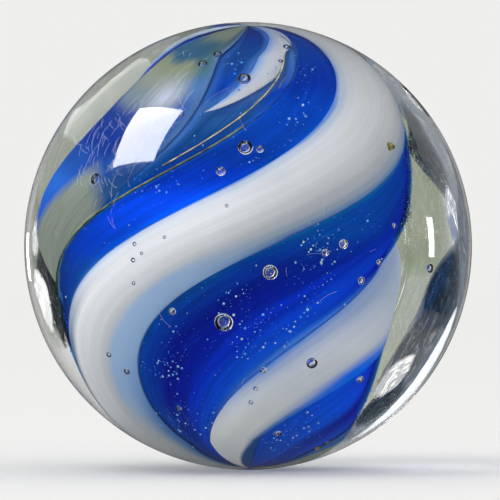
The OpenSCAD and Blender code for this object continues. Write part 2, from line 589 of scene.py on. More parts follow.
def seedTree(material):       # fine seeds in clusters over the blue parts of a skin
    tree, given = newTree("fineSeeds", fineSeeds)
    band, height, _ = parts(tree, named(tree, "swirl", "FLOAT_VECTOR"))
    blue = (band.bump(1.5, 0.55) + band.bump(3.5, 0.55) + band.bump(6.0, 1.0)).ramp(0.35, 0.6)
    cluster = noise(tree, spot(tree), given["Clusters"], 1.0).ramp(0.50, 0.64)
    foam = height.ramp(-0.70, -0.80) * band.bump(3.5, 0.5)
    _, away, _ = parts(tree, addNode(tree, "GeometryNodeInputNormal").outputs[0])
    facing = away.absolute().ramp(0.32, 0.6) * 0.96 + 0.04      # few of them stand on the outline
    share = blue * facing * (cluster + 0.07 + foam)
    sown = addNode(tree, "GeometryNodeDistributePointsOnFaces",
                   {"Mesh": given["Geometry"], "Density": given["Density"] * share, "Seed": given["Seed"]})
    lift = chance(tree, given["Below"], given["Above"], given["Seed"])
    lifted = addNode(tree, "GeometryNodeSetPosition",
                     {"Geometry": sown.outputs["Points"],
                      "Offset": scaled(tree, sown.outputs["Normal"], lift)})
    fine = chance(tree, 0.0, 1.0, given["Size Seed"]) ** 4      # most of them are near the smallest
    size = given["Smallest"] + (given["Largest"] - given["Smallest"]) * fine
    bright = chance(tree, 0.0, 1.0, given["Glint Seed"])
    points = marked(tree, lifted.outputs[0], "glint", "FLOAT", bright)
    return closeTree(tree, strewn(tree, points, pellet(tree, given["Fineness"]), size), material)


hairScratches = {
    "Density": 3.6e6,
    "Shortest": 0.35 * mm,
    "Longest": 1.9 * mm,
    "Width": 0.012 * mm,
    "Depth": 0.012 * mm,                   # how far they lie under the ball's surface
    "Bow": 0.3,
    "Heading": 62.0,
    "Spread": 50.0,
    "Patches": 190.0,
    "Worn Spot": (-0.62, -0.61, 0.50),     # the direction of the ball's most scratched side
    "Worn Reach": 0.36 * ballRadius,
    "Elsewhere": 0.03,                     # how many there are on the rest of the ball
    "Sides": 4,
    "Tip": 0.06,                           # how thick their ends are, against their middle
    "Seed": 3,
    "Length Seed": 6,
}

scratchBends = 8      # straight steps in each scratch


def scratchTree(material):    # fine curved scratches that lie in the ball's skin
    tree, given = newTree("hairScratches", hairScratches)
    where = spot(tree)
    patch = noise(tree, where, given["Patches"], 1.0).ramp(0.46, 0.62)
    gap = addNode(tree, "ShaderNodeVectorMath",
                  {0: where, 1: scaled(tree, given["Worn Spot"], ballRadius)}, operation="DISTANCE")
    worn = Term(tree, gap.outputs["Value"]).bump(0, given["Worn Reach"]) + given["Elsewhere"]
    sown = addNode(tree, "GeometryNodeDistributePointsOnFaces",
                   {"Mesh": given["Geometry"], "Density": given["Density"] * worn * patch,
                    "Seed": given["Seed"]})
    line = addNode(tree, "GeometryNodeMeshLine",
                   {"Count": scratchBends + 1, "Offset": vectorOf(tree, 1 / scratchBends, 0, 0)})
    x, _, _ = parts(tree, spot(tree))
    arc = moved(tree, line.outputs[0], vectorOf(tree, x - 0.5, given["Bow"] * x * (1 - x), 0))
    turn = chance(tree, given["Heading"] - given["Spread"], given["Heading"] + given["Spread"], given["Seed"])
    upright = addNode(tree, "FunctionNodeAlignRotationToVector", {"Vector": sown.outputs["Normal"]}, axis="Z")
    about = addNode(tree, "FunctionNodeAxisAngleToRotation", {"Axis": (0, 0, 1), "Angle": turn * degree})
    spun = addNode(tree, "FunctionNodeRotateRotation",
                   {"Rotation": upright.outputs[0], "Rotate By": about.outputs[0]}, rotation_space="LOCAL")
    longer = chance(tree, 0.0, 1.0, given["Length Seed"]) ** 3      # most of them are near the shortest
    length = given["Shortest"] + (given["Longest"] - given["Shortest"]) * longer
    strokes = strewn(tree, sown.outputs["Points"], arc, length, Rotation=spun.outputs[0])
    real = addNode(tree, "GeometryNodeRealizeInstances", {"Geometry": strokes})
    # every point is drawn back on to the ball, just under its surface
    seat = scaled(tree, unit(tree, spot(tree)), ballRadius - given["Depth"])
    seated = moved(tree, real.outputs[0], seat)
    factor = Term(tree, addNode(tree, "GeometryNodeSplineParameter").outputs["Factor"])
    taper = ((factor * 180).sine() ** 0.6).atLeast(given["Tip"])
    return closeTree(tree, tube(tree, seated, taper, given["Sides"], given["Width"]), material)


speckLump = {
    "Fineness": 4,
    "Raggedness": 0.45,
    "Grain": 3.5,
    "Stoutness": 0.8,
}


def speckTree(material):      # a ragged little lump at each point, as large as the point's "size" says
    tree, given = newTree("specks", speckLump)
    where = spot(tree)
    rough = noise(tree, where, given["Grain"], 3.0) - 0.5
    swollen = scaled(tree, where, rough * 4 * given["Raggedness"] + given["Stoutness"])
    lump = moved(tree, pellet(tree, given["Fineness"]), swollen)
    points = addNode(tree, "GeometryNodeMeshToPoints", {"Mesh": given["Geometry"]}).outputs[0]
    return closeTree(tree, strewn(tree, points, lump, named(tree, "size", "FLOAT")), material)


# Materials

def newMaterial(name, **settings):
    material = bpy.data.materials.new(name)
    material.use_nodes = True
    for title, value in settings.items():
        shaderOf(material).inputs[title.replace("_", " ")].default_value = value
    return material, material.node_tree


def shaderOf(material):
    return material.node_tree.nodes["Principled BSDF"]


def painted(material, colour):      # the same material, now in this colour
    material.node_tree.links.new(colour, shaderOf(material).inputs["Base Color"])
    return material


def onPiece(tree):      # the place on the piece, in metres
    return addNode(tree, "ShaderNodeTexCoord").outputs["Object"]


def attribute(tree, name):
    return parts(tree, addNode(tree, "ShaderNodeAttribute", attribute_name=name).outputs["Vector"])


def mixColours(tree, share, first, second):
    node = addNode(tree, "ShaderNodeMix", {"Factor": share, "A": first, "B": second}, data_type="RGBA")
    return next(s for s in node.outputs if s.enabled)


def coated(tree, colour, *coats):      # each coat is how much it covers, and its colour
    for share, coat in coats:
        colour = mixColours(tree, share, colour, (*coat, 1))
    return colour


def colourRamp(tree, value, stops):      # stops are (value, colour) pairs
    low, high = stops[0][0], stops[-1][0]
    node = addNode(tree, "ShaderNodeValToRGB", {0: value.ramp(low, high)})
    node.color_ramp.interpolation = "EASE"
    ramp = node.color_ramp.elements
    while len(ramp) < len(stops):
        ramp.new(0.5)
    for element, (at, colour) in zip(ramp, stops):
        element.position = (at - low) / (high - low)
        element.color = (*colour, 1)
    return node.outputs[0]


def clearGlass():
    material, tree = newMaterial(
        "clearGlass", Base_Color=(0.985, 0.992, 0.988, 1), Transmission_Weight=1.0, IOR=glassBend)
    where = onPiece(tree)
    # handling marks: patches of fine pits over a barely wavy polish
    patches = noise(tree, where, 160.0).ramp(0.52, 0.68)
    pits = noise(tree, where, 9000.0).ramp(0.56, 0.7)
    relief = noise(tree, where, 90.0, 1.0) * 3 - pits * patches * 0.3
    bump = addNode(tree, "ShaderNodeBump", {"Strength": 1.0, "Distance": 0.004 * mm, "Height": relief})
    plug(tree, bump.outputs[0], shaderOf(material).inputs["Normal"])
    plug(tree, (patches * pits * 0.12).within(0, 1), shaderOf(material).inputs["Roughness"])
    return material


def blueGlass():
    material, tree = newMaterial(
        "blueGlass", Base_Color=(1, 1, 1, 1), Transmission_Weight=1.0, IOR=1.0, Roughness=0.0)
    tint = addNode(tree, "ShaderNodeVolumeAbsorption", {"Color": (0.0, 0.55, 0.93, 1), "Density": 2600.0})
    tree.links.new(tint.outputs[0], tree.nodes["Material Output"].inputs["Volume"])
    return material


blueStops = [      # along the band coordinate, from the first ribbon round to the lip
    (0.0, (0.02, 0.17, 0.56)),
    (0.6, (0.02, 0.15, 0.50)),
    (0.95, (0.0, 0.15, 0.48)),
    (1.08, (0.0, 0.09, 0.46)),
    (1.3, (0.0, 0.022, 0.36)),
    (1.45, (0.0, 0.028, 0.46)),
    (1.6, (0.0, 0.075, 0.80)),
    (1.74, (0.0, 0.17, 1.0)),
    (1.86, (0.0, 0.13, 0.88)),
    (2.05, (0.0, 0.05, 0.45)),
    (2.9, (0.0, 0.04, 0.40)),
    (3.05, (0.0, 0.20, 0.95)),
    (3.5, (0.0, 0.25, 1.0)),
    (3.75, (0.0, 0.04, 0.42)),
    (4.0, (0.0, 0.16, 0.70)),
    (4.6, (0.0, 0.03, 0.36)),
    (5.0, (0.0, 0.14, 0.60)),
]

lipStops = [       # along the height, from the lip to the first ribbon
    (-1.0, (0.0, 0.06, 0.40)),
    (-0.6, (0.0, 0.13, 0.62)),
    (-0.3, (0.055, 0.20, 0.24)),
    (-0.12, (0.02, 0.14, 0.38)),
    (0.02, (0.0, 0.11, 0.62)),
    (0.2, (0.0, 0.145, 1.0)),
    (0.33, (0.0, 0.08, 0.60)),
    (0.42, (0.0, 0.085, 0.44)),
    (0.54, (0.005, 0.13, 0.55)),
    (0.63, (0.0, 0.15, 0.66)),
    (0.74, (0.0, 0.09, 0.52)),
    (0.9, (0.0, 0.13, 0.46)),
    (1.0, (0.0, 0.06, 0.38)),
]

thirdToLipStops = [     # along the height, from the third ribbon to the lip
    (-1.0, (0.0, 0.05, 0.40)),
    (-0.4, (0.02, 0.12, 0.30)),
    (-0.12, (0.17, 0.22, 0.16)),
    (0.02, (0.10, 0.18, 0.22)),
    (0.15, (0.01, 0.12, 0.34)),
    (0.3, (0.01, 0.13, 0.46)),
    (0.42, (0.015, 0.13, 0.42)),
    (0.52, (0.04, 0.16, 0.36)),
    (0.62, (0.10, 0.23, 0.42)),
    (0.72, (0.01, 0.12, 0.56)),
    (0.85, (0.04, 0.15, 0.34)),
    (1.0, (0.0, 0.06, 0.30)),
]


def blueStreaks():
    material, tree = newMaterial("blueStreaks", Roughness=0.45, Specular_IOR_Level=0.0)
    band, height, aside = attribute(tree, "swirl")
    drift = noise(tree, vectorOf(tree, band * 2.2, height * 1.3, 0), 2.0, 3.0) - 0.5
    upper = band.ramp(0.9, 1.0) * band.ramp(2.1, 2.0) * height.ramp(-0.2, 0.05)
    beside = band.ramp(1.6, 1.3) * height.ramp(-0.06, 0.06)
    low = height.bump(-0.48, 0.3)
    streak = (band + drift * 0.1).bump(1.94, 0.17) * low
    foot = band.ramp(0.9, 1.1) * band.ramp(4.1, 3.9) * height.ramp(-0.66, -0.88)
    fields = coated(
        tree, colourRamp(tree, band + drift * 0.28, blueStops),
        (upper * 0.7, (0.0, 0.085, 0.48)),                      # the broad field evens out above the middle
        (upper * beside, (0.0, 0.17, 0.54)),
        (streak * 0.95, (0.02, 0.26, 1.0)),                     # a bright streak beside the second ribbon
        (band.bump(2.02, 0.06) * low, (0.20, 0.44, 0.95)),      # and its milky edge
        (foot * 0.5, (0.04, 0.20, 0.58)))
    # from the third ribbon round to the first, blue clouded with olive grey as far as the lip, and blue past
    # it
    thirdToLipField = colourRamp(tree, height + drift * 0.2, thirdToLipStops)
    lipField = colourRamp(tree, height + drift * 0.14, lipStops)
    farFields = mixColours(tree, (band + drift * 0.15).ramp(5.88, 6.02), thirdToLipField, lipField)
    fold = band.bump(5.02, 0.08) * height.ramp(0.3, 0.5)
    milk = aside.ramp(11, 2) * height.ramp(0.6, 0.68) * (1 - band.ramp(6.1, 6.5))
    colour = coated(
        tree, mixColours(tree, band.ramp(4.9, 5.15), fields, farFields),
        (fold * 0.8, (0.13, 0.28, 0.62)),       # thin milky glass in the fold beside the third ribbon
        (milk * 0.85, (0.46, 0.56, 0.78)))      # milky glass up to 11 degrees from the thread
    # drawn threads of lighter and darker glass
    fine = noise(tree, vectorOf(tree, band * 13, height * 1.5, 3), 2.2, 4.0, 0.62, 0.3)
    wisps = noise(tree, vectorOf(tree, band * 5, height * 2.2, 9), 2.0, 3.0, 0.6, 0.6)
    colour = scaled(tree, colour, fine.ramp(0.25, 0.75) * 0.5 + 0.78)
    return painted(material, coated(tree, colour, (wisps.ramp(0.6, 0.78) * 0.35, (0.0, 0.19, 1.0))))


# It greys towards its far, lower edge: partly painted shade, as lit from above, and partly the opal thinning
# there.
firstStops = [     # across the first ribbon, from its far edge to its near edge
    (-1.0, (0.03, 0.12, 0.42)),
    (-0.9, (0.20, 0.33, 0.57)),
    (-0.72, (0.39, 0.47, 0.60)),
    (-0.45, (0.57, 0.61, 0.66)),
    (-0.1, (0.73, 0.76, 0.79)),
    (0.25, (0.83, 0.85, 0.88)),
    (0.55, (0.86, 0.88, 0.92)),
    (0.8, (0.80, 0.84, 0.92)),
    (0.93, (0.58, 0.67, 0.85)),
    (1.0, (0.16, 0.33, 0.74)),
]

secondStops = [    # across the second ribbon
    (-1.0, (0.0, 0.12, 0.66)),
    (-0.86, (0.14, 0.28, 0.60)),
    (-0.66, (0.54, 0.62, 0.72)),
    (-0.2, (0.73, 0.79, 0.86)),
    (0.2, (0.79, 0.84, 0.92)),
    (0.55, (0.72, 0.80, 0.94)),
    (0.8, (0.52, 0.65, 0.92)),
    (0.94, (0.30, 0.50, 0.96)),
    (1.0, (0.10, 0.32, 0.95)),
]

threadStops = [    # across the thread
    (-1.0, (0.30, 0.42, 0.66)),
    (-0.8, (0.62, 0.65, 0.74)),
    (0.2, (0.64, 0.67, 0.78)),
    (0.7, (0.42, 0.55, 0.80)),
    (1.0, (0.20, 0.36, 0.78)),
]


def drawnRibbon(name, stops):      # opal white, drawn out in streaks along its length
    material, tree = newMaterial(name, Roughness=0.3, Specular_IOR_Level=0.0)
    across, height, side = attribute(tree, "ribbon")
    streaks = noise(tree, vectorOf(tree, across * 4, height * 0.9, side), 2.4, 4.0, 0.55)
    cloud = noise(tree, vectorOf(tree, across * 1.2, height * 2.5, 7), 2.0, 2.0) - 0.5
    colour = colourRamp(tree, across + cloud * 0.14, stops)
    colour = scaled(tree, colour, streaks.ramp(0.25, 0.75) * 0.12 + 0.92)
    return material, tree, colour, across + cloud * 0.1, height


def firstGlass():
    material, tree, colour, across, height = drawnRibbon("opalFirst", firstStops)
    strip = across.ramp(-0.36, -0.52) * height.ramp(0.06, -0.12) * height.ramp(-0.85, -0.6)
    shadow = across.ramp(0.5, 0.75) * height.bump(-0.42, 0.2)
    rim = across.ramp(-0.6, -0.95) * height.ramp(-0.45, -0.8)
    return painted(material, coated(
        tree, colour,
        (strip * 0.85, (0.34, 0.52, 0.80)),       # thin milky blue beside the white, low on the ribbon
        (shadow * 0.9, (0.02, 0.11, 0.24)),       # painted shade along a stretch of its near edge
        (height.ramp(-0.6, -0.9) * 0.5, (0.56, 0.61, 0.57)),
        (rim * 0.85, (0.03, 0.20, 0.60)),         # blue shows through its far edge at the foot
        (height.ramp(0.6, 0.95) * 0.4, (0.40, 0.44, 0.42))))


def secondGlass():
    material, tree, colour, across, height = drawnRibbon("opalSecond", secondStops)
    edge = across.ramp(-0.4, -0.75) * height.bump(-0.5, 0.19)
    foot = height.ramp(-0.52, -0.78) * across.ramp(-0.85, -0.45)
    corner = (-across - (height + 0.86) * 6).ramp(0.62, 0.86)
    return painted(material, coated(
        tree, colour,
        (edge, (0.0, 0.17, 1.0)),           # vivid blue along its far edge
        (foot, (0.93, 0.96, 0.94)),         # whitest at the foot, and dull higher up
        (height.ramp(-0.4, -0.18) * 0.6, (0.34, 0.45, 0.62)),
        (corner, (0.02, 0.11, 0.36))))      # its far corner at the foot is rounded off


def threadGlass():
    material, tree, colour, _, height = drawnRibbon("opalThread", threadStops)
    return painted(material, coated(tree, colour, (height.ramp(0.86, 1.0) * 0.6, (0.10, 0.22, 0.55))))


# The third ribbon's greys and olive greys are its white painted in shade, tinted green as a painted
# reflection; its blues are the core's glass.
shadedThirdStops = [     # up the third ribbon, on its side away from the lip
    (-1.0, (0.03, 0.14, 0.45)),
    (0.02, (0.03, 0.13, 0.42)),
    (0.14, (0.01, 0.13, 0.70)),
    (0.26, (0.02, 0.15, 0.68)),
    (0.36, (0.015, 0.085, 0.42)),
    (0.46, (0.008, 0.04, 0.30)),
    (0.56, (0.015, 0.05, 0.28)),
    (0.64, (0.20, 0.26, 0.32)),
    (0.72, (0.27, 0.31, 0.28)),
    (0.80, (0.25, 0.29, 0.20)),
    (0.85, (0.03, 0.11, 0.22)),
    (0.9, (0.04, 0.12, 0.20)),
    (0.96, (0.18, 0.22, 0.18)),
    (1.0, (0.20, 0.24, 0.22)),
]

farStops = [       # the same on its side towards the lip
    (-1.0, (0.02, 0.11, 0.36)),
    (0.2, (0.03, 0.13, 0.36)),
    (0.35, (0.02, 0.09, 0.34)),
    (0.5, (0.012, 0.08, 0.38)),
    (0.62, (0.01, 0.09, 0.46)),
    (0.72, (0.06, 0.20, 0.50)),
    (0.8, (0.08, 0.19, 0.22)),
    (1.0, (0.07, 0.11, 0.14)),
]


# the third ribbon: blue patches, milky glass, and white painted in greenish grey shade
def shadedThirdGlass():
    material, tree = newMaterial("shadedThirdGlass", Roughness=0.35, Specular_IOR_Level=0.0)
    across, height, side = attribute(tree, "ribbon")
    cloud = noise(tree, vectorOf(tree, across * 1.5, height * 3, side * 0.3), 2.0, 3.0) - 0.5
    nearColour = colourRamp(tree, height + cloud * 0.08, shadedThirdStops)
    farColour = colourRamp(tree, height + cloud * 0.08, farStops)
    tongue = (across + height * 0.8 + cloud * 0.1).ramp(0.02, -0.2)
    tongue = tongue * (height - across * 0.33 + cloud * 0.06).ramp(0.52, 0.44)
    brink = across.ramp(-0.8, -0.95) * height.ramp(0.3, 0.5)
    milk = across.bump(-0.4, 0.28) * height.bump(0.67, 0.07)
    colour = coated(
        tree, mixColours(tree, (across + cloud * 0.2).ramp(-0.45, -0.75), nearColour, farColour),
        (tongue, (0.31, 0.36, 0.305)),           # a tongue of white painted in greenish grey shade, coming up from the foot
        (brink * 0.7, (0.12, 0.25, 0.52)),       # a bluish edge towards the lip
        (milk * 0.9, (0.55, 0.60, 0.74)))        # a milky patch beside the thread
    fine = noise(tree, vectorOf(tree, across * 9, height * 2.4, 5), 2.2, 4.0, 0.65, 0.4)
    return painted(material, scaled(tree, colour, fine.ramp(0.25, 0.75) * 0.4 + 0.8))


def lineGlass(name, colour):
    material, tree = newMaterial(name, Roughness=0.3, Specular_IOR_Level=0.0)
    beads = noise(tree, onPiece(tree), 1400.0, 3.0, 0.6)
    return painted(material, scaled(tree, colour, beads.ramp(0.35, 0.65) * 1.1 + 0.35))


def glintGlass():      # painted glints: fine seeds as pale beads, some brighter than others
    material, tree = newMaterial("glintGlass", Roughness=0.2, Specular_IOR_Level=0.2)
    glint = addNode(tree, "ShaderNodeAttribute", attribute_name="glint").outputs["Fac"]
    return painted(material, mixColours(tree, glint, (0.0, 0.32, 0.95, 1), (0.60, 0.95, 1.0, 1)))


def scratchGlass():
    material, _ = newMaterial("scratchGlass", Roughness=0.6, Base_Color=(0.92, 0.95, 1.0, 1))
    return material


def speckGlass():
    material, tree = newMaterial("speckGlass", Roughness=0.5, Specular_IOR_Level=0.1)
    rust = noise(tree, onPiece(tree), 4000.0, 3.0, 0.6).ramp(0.42, 0.6)
    return painted(material, mixColours(tree, rust, (0.10, 0.07, 0.01, 1), (0.50, 0.45, 0.16, 1)))


# Pieces

blueMesh = grow("blueCore", bodyTree(blueGlass()), blueBody)
place(blueMesh, "blue_glass", "blue_core")
place(grow("blueStreaks", bodyTree(blueStreaks()), streakyBody), "blue_glass")

for number, paint in enumerate((firstGlass, secondGlass, shadedThirdGlass)):
    name = "whiteRibbon%d" % (number + 1)
    mesh = grow(name, ribbonTree(paint()), {**ribbon, "Ribbon": number})
    place(mesh, "white_glass", "white_ribbon_%d" % (number + 1))
place(grow("whiteThread", ribbonTree(threadGlass()), thread), "white_glass", "white_thread")

lipLines = {       # degrees beside the lip, thickness, first and last height, colour
    # lipShade is painted shade, a dark line in the crease of the lip
    "lipShade": (0.5, 0.05 * mm, -0.92, 0.95, (0.03, 0.08, 0.11)),
    # lipOlive and lipGold are yellow-green lines painted as a reflection along the lip's edge
    "lipOlive": (-0.6, 0.06 * mm, -0.75, 0.55, (0.34, 0.38, 0.07)),
    "lipGold": (-7.5, 0.06 * mm, 0.36, 0.93, (0.80, 0.72, 0.30)),
}

for name, (beside, thickness, lowest, highest, colour) in lipLines.items():
    sizes = {**lipLine, "Beside": beside, "Thickness": thickness, "From": lowest, "To": highest}
    place(grow(name, lipLineTree(lineGlass(name, colour)), sizes), "blue_glass")


# The casing's ten voids: height over the middle as a share of the radius, angle round the ball, distance
# from the axis as such a share, and diameter in millimetres.

voids = [
    (-0.29, -98, 0.70, 1.00), (-0.09, -83, 0.72, 0.80), (0.41, -91, 0.66, 0.80), (0.02, -58, 0.70, 0.50),
    (0.68, -92, 0.45, 0.70), (-0.46, -67, 0.66, 0.60), (0.28, -142, 0.78, 0.60), (-0.20, 20, 0.74, 0.70),
    (0.15, 75, 0.74, 0.60), (0.45, 150, 0.66, 0.50),
]

# Finer bubbles and specks are listed by where they show on the ball's face: clock angle in degrees from the
# right, distance from the middle as a share of the ball's radius, distance from the ball's centre as a share
# of its radius, and size in millimetres.

bubbles = [
    (83, 0.43, 0.72, 0.42), (-5, 0.34, 0.72, 0.40), (104, 0.83, 0.86, 0.50), (99, 0.86, 0.86, 0.45),
    (117, 0.65, 0.84, 0.35), (110, 0.35, 0.70, 0.50), (79, 0.90, 0.86, 0.40), (80, 0.83, 0.84, 0.25),
    (118, 0.20, 0.74, 0.18), (179, 0.50, 0.76, 0.22), (-173, 0.51, 0.76, 0.25), (-176, 0.47, 0.76, 0.18),
    (174, 0.37, 0.76, 0.18), (-162, 0.53, 0.76, 0.20), (-83, 0.55, 0.74, 0.35), (-87, 0.63, 0.74, 0.25),
    (-89, 0.69, 0.76, 0.25), (-50, 0.77, 0.80, 0.40), (-139, 0.44, 0.74, 0.40), (-17, 0.52, 0.76, 0.40),
    (-7, 0.58, 0.76, 0.30), (8, 0.65, 0.80, 0.25), (-7, 0.81, 0.88, 0.50), (-81, 0.84, 0.84, 0.40),
    (-113, 0.78, 0.84, 0.35), (-142, 0.78, 0.84, 0.30), (-134, 0.77, 0.84, 0.35),
]

specks = [(35, 0.77, 0.70, 0.45), (-71, 0.95, 0.86, 0.40), (-68, 0.94, 0.86, 0.20)]


def atClock(clock, reach):      # sideways and upwards parts of this reach in a clock angle's direction
    return reach * math.cos(math.radians(clock)), reach * math.sin(math.radians(clock))


def roundAxis(height, angle, reach, size):
    return Vector((*atClock(angle, reach), height)) * ballRadius, size * mm


def insideBall(clock, share, reach, size):     # where the sight line comes this close to the ball's centre
    slope = math.asin(share) - math.asin(share / glassBend) + math.asin(share / (glassBend * reach))
    return fromView(*atClock(clock, math.sin(slope)), math.cos(slope)) * reach * ballRadius, size * mm


def pointMesh(name, pairs):       # one point for each pair of a place and a size
    mesh = bpy.data.meshes.new(name)
    mesh.from_pydata([middle[:] for middle, _ in pairs], [], [])
    mesh.attributes.new("size", "FLOAT", "POINT").data.foreach_set("value", [size for _, size in pairs])
    return mesh


glass = clearGlass()
ballMesh = grow("clearBall", ballTree(glass), ballSkin)
places = [roundAxis(*row) for row in voids] + [insideBall(*row) for row in bubbles]
bubblePoints = pointMesh("bubblePoints", places)
bubbleMesh = grow("bubbles", bubbleTree(glass), bubbleWall, bubblePoints, inward=True)
whole = bmesh.new()
for mesh in (ballMesh, bubbleMesh):
    whole.from_mesh(mesh)
whole.to_mesh(ballMesh)
whole.free()
place(ballMesh, "clear_glass", "clear_casing")

place(grow("fineSeeds", seedTree(glintGlass()), fineSeeds, blueMesh), "clear_glass")
place(grow("hairScratches", scratchTree(scratchGlass()), hairScratches, ballMesh), "clear_glass")
speckPoints = pointMesh("speckPoints", [insideBall(*row) for row in specks])
place(grow("brownSpecks", speckTree(speckGlass()), speckLump, speckPoints), "white_glass")

# Stage and light

stage = {
    "pale": (0.86, 0.86, 0.85),
    "floorReach": 3.0,
    "floorCells": 24,
    "floorGap": 0.01 * mm,
    "fade": (0.05, 0.5),
    "worldLight": 0.88,
    "mirrored": 0.10,        # how bright the studio is in a mirror image, against its look straight on
}


def emission(tree, colour, strength=1.0):
    return addNode(tree, "ShaderNodeEmission", {"Color": colour, "Strength": strength}).outputs[0]


def eitherOf(tree, share, first, second):
    return addNode(tree, "ShaderNodeMixShader", {0: share, 1: first, 2: second}).outputs[0]


def setSurface(mesh, material, look):
    tree = material.node_tree
    tree.links.new(look, tree.nodes["Material Output"].inputs["Surface"])
    mesh.materials.append(material)


def mirrorImage(tree):       # 1 for a sharp mirror image, 0 for all other sight lines and light
    path = addNode(tree, "ShaderNodeLightPath")
    return Term(tree, path.outputs["Is Reflection Ray"]) * path.outputs["Is Glossy Ray"]


def makeFloor():
    mesh = bpy.data.meshes.new("floor")
    work = bmesh.new()
    bmesh.ops.create_grid(work, x_segments=stage["floorCells"], y_segments=stage["floorCells"],
                          size=stage["floorReach"],
                          matrix=Matrix.Translation((0, 0, ballLow[2] - stage["floorGap"])))
    work.to_mesh(mesh)
    work.free()
    pale = (*stage["pale"], 1)
    material, tree = newMaterial("paleFloor", Base_Color=pale, Roughness=0.9, Specular_IOR_Level=0.0)
    far = addNode(tree, "ShaderNodeVectorMath", {0: onPiece(tree)}, operation="LENGTH").outputs["Value"]
    faded = eitherOf(tree, Term(tree, far).ramp(*stage["fade"]), shaderOf(material).outputs[0],
                     emission(tree, pale))
    dim = emission(tree, pale, stage["mirrored"])
    setSurface(mesh, material, eitherOf(tree, mirrorImage(tree), faded, dim))
    floor = linked("floor", mesh)


def makeWorld():
    world = bpy.data.worlds.new("studio")
    bpy.context.scene.world = world
    world.use_nodes = True
    tree = world.node_tree
    tree.nodes.clear()
    path = addNode(tree, "ShaderNodeLightPath")
    seen = (Term(tree, path.outputs["Is Camera Ray"]) + path.outputs["Is Glossy Ray"]
            + path.outputs["Is Transmission Ray"]).within(0, 1)
    light = addNode(tree, "ShaderNodeBackground", {"Color": (1, 1, 1, 1), "Strength": stage["worldLight"]})
    brightness = 1 - mirrorImage(tree) * (1 - stage["mirrored"])
    backdrop = addNode(tree, "ShaderNodeBackground", {"Color": (*stage["pale"], 1), "Strength": brightness})
    target = addNode(tree, "ShaderNodeOutputWorld")
    tree.links.new(eitherOf(tree, seen, light.outputs[0], backdrop.outputs[0]), target.inputs[0])


# Cards behind the ball, which its rim bends into crescents: the two colours that a card is streaked with, how
# much it hides, how ragged its edge is, and its outline as it shows on the ball's face. Each station of the
# outline is a clock angle in degrees from the right, then the inner and outer edge as shares of the radius.

